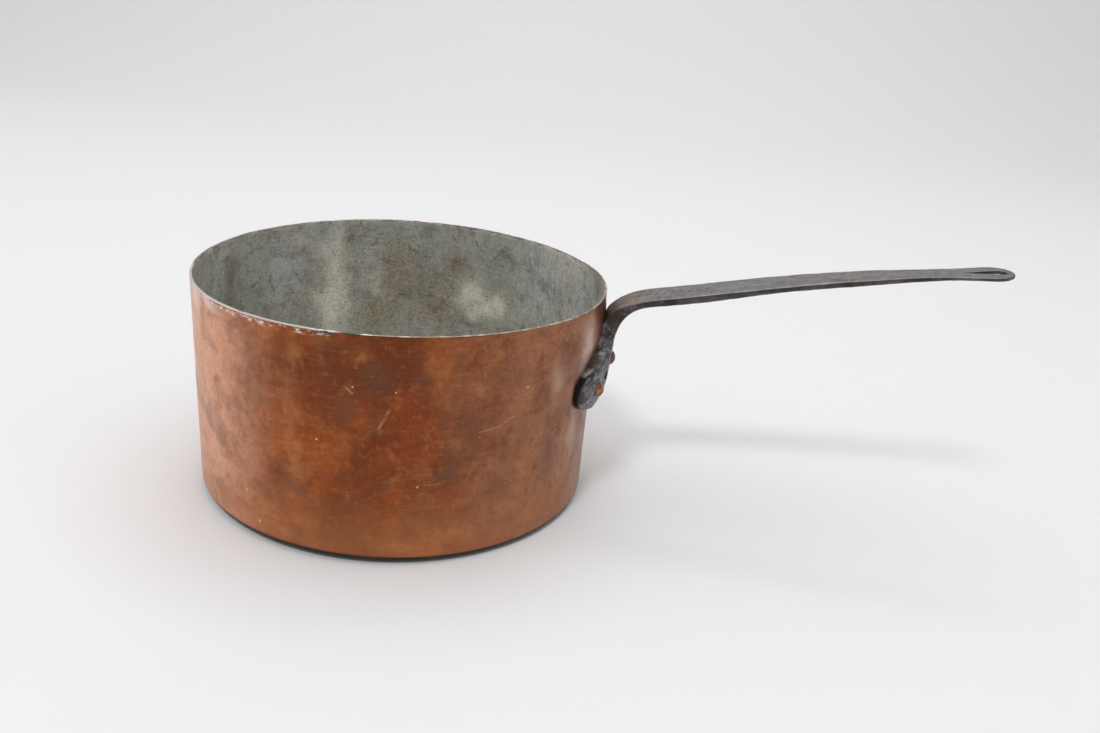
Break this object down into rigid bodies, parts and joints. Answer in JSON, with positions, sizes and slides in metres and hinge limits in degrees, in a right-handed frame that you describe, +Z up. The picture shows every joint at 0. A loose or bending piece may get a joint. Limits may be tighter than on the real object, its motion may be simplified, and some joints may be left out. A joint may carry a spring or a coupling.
{
  "type": "copper saucepan",
  "caption": "Straight-sided round copper saucepan with a tin lining and a long flat forged iron handle, riveted on by a spade flange and ending in a hanging eye.",
  "frame": {"origin": "centre of the flat base's underside", "axes": "+Z up along the pan's axis, +X along the handle away from the pan, +Y to the left of the handle"},
  "size_m": [0.5465, 0.28, 0.1982],
  "materials": {
    "copper": "aged satin copper with brown patina and fine scratches",
    "tin": "dull wiped tin with dark pitting",
    "iron": "dark forged iron, satin, rust brown near the bend",
    "rivet_copper": "hammered copper, darkened"
  },
  "bodies": {
    "root": {"copper_body": "copper", "tin_lining": "tin", "handle": "iron", "rivet_upper": "rivet_copper", "rivet_lower_left": "rivet_copper", "rivet_lower_right": "rivet_copper"}
  },
  "joints": []
}
